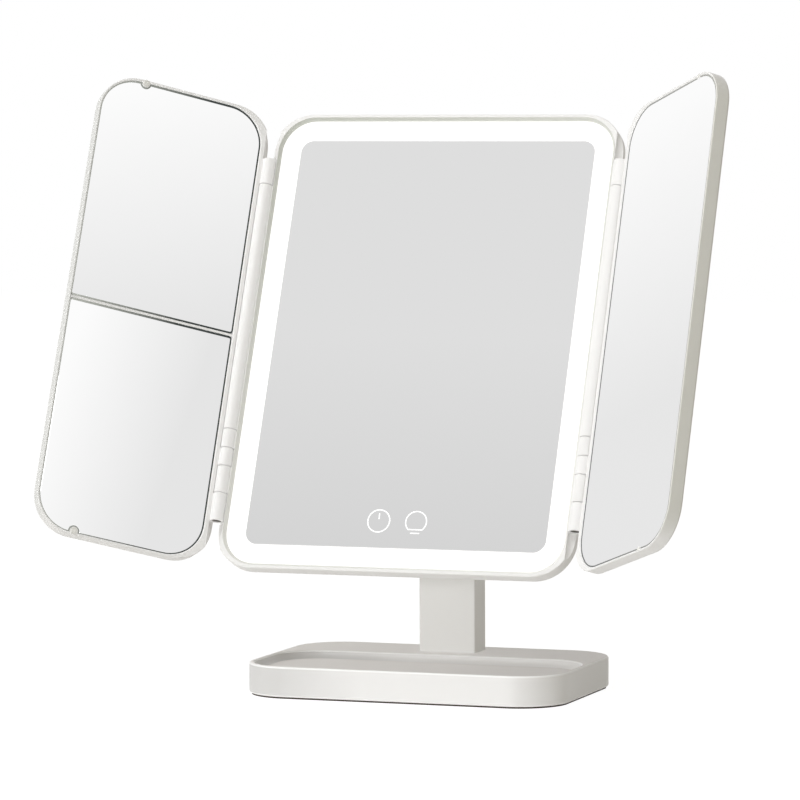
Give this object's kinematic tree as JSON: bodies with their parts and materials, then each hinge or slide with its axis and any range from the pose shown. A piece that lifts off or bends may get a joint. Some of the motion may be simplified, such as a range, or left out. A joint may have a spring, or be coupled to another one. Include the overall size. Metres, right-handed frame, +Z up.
{
  "type": "lighted makeup mirror",
  "caption": "Free-standing makeup mirror: a leaning panel with a lit border and touch marks, folding side mirrors on barrel hinges, and a tray base with a bent stem and tilt hinge.",
  "frame": {"origin": "centre of the flat underside of the base's anti-slip pad, on the surface it stands on", "axes": "+Z up, +X to the right as seen by the user, +Y to the back; the mirror faces -Y and leans back"},
  "size_m": [0.3297, 0.1701, 0.3058],
  "materials": {
    "ivory_rim": "satin moulded",
    "ivory_base": "fine satin",
    "ivory_stem": "fine satin",
    "mirror_glass": "polished",
    "lit_opal": "frosted",
    "lit_mark": "screen printed",
    "reflector_white": "matte",
    "led_phosphor": "smooth",
    "led_strip": "smooth",
    "board_green": "solder mask",
    "sensor_foam": "conductive foam",
    "socket_metal": "plated",
    "cell_foil": "foil",
    "tape": "foam tape",
    "wire_red": "insulation",
    "silicone": "soft matte",
    "pad_brown": "soft matte",
    "steel": "zinc plated",
    "bearing_white": "smooth"
  },
  "bodies": {
    "stand": {"base_tray": "ivory_base", "base_cover": "ivory_base", "base_pad": "pad_brown", "base_ballast": "steel", "base_screws": "steel", "stem_shell": "ivory_stem", "stem_cover": "ivory_stem", "stem_core": "steel", "stem_screws": "steel", "tilt_bush": "bearing_white", "friction_washers": "bearing_white"},
    "main_panel": {"tilt_axle": "steel", "spring_washer": "steel", "tilt_nut": "steel", "axle_caps": "ivory_rim", "main_frame": "ivory_rim", "rear_shell": "ivory_rim", "rear_screws": "steel", "light_diffuser": "lit_opal", "main_mirror": "mirror_glass", "mirror_tape": "tape", "power_icon": "lit_mark", "lamp_icon": "lit_mark", "reflector_tray": "reflector_white", "led_strips": "led_strip", "leds": "led_phosphor", "control_board": "board_green", "touch_pads": "sensor_foam", "usb_socket": "socket_metal", "battery_pack": "cell_foil", "battery_tape": "tape", "wiring_loom": "wire_red", "hinge_bracket": "ivory_rim", "backing_plate": "steel", "bracket_screws": "steel", "left_hinge_pin": "steel", "right_hinge_pin": "steel"},
    "left_wing": {"left_wing_frame": "ivory_rim", "left_wing_back": "ivory_rim", "left_upper_mirror": "mirror_glass", "left_lower_mirror": "mirror_glass", "left_mirror_tapes": "tape", "left_bumpers": "silicone"},
    "right_wing": {"right_wing_frame": "ivory_rim", "right_wing_back": "ivory_rim", "right_mirror": "mirror_glass", "right_mirror_tape": "tape", "right_bumpers": "silicone"}
  },
  "joints": [
    {"name": "panel_tilt", "type": "hinge", "parent": "stand", "child": "main_panel", "pos_m": [0, 0.015, 0.1566], "axis": [-1, 0, 0], "range_deg": [-33, 37]},
    {"name": "left_wing_hinge", "type": "hinge", "parent": "main_panel", "child": "left_wing", "pos_m": [-0.0925, -0.01442, 0.17506], "axis": [0, 0.3907, 0.9205], "range_deg": [-40, 140]},
    {"name": "right_wing_hinge", "type": "hinge", "parent": "main_panel", "child": "right_wing", "pos_m": [0.0925, -0.01442, 0.17506], "axis": [0, -0.3907, -0.9205], "range_deg": [-45, 135]}
  ]
}
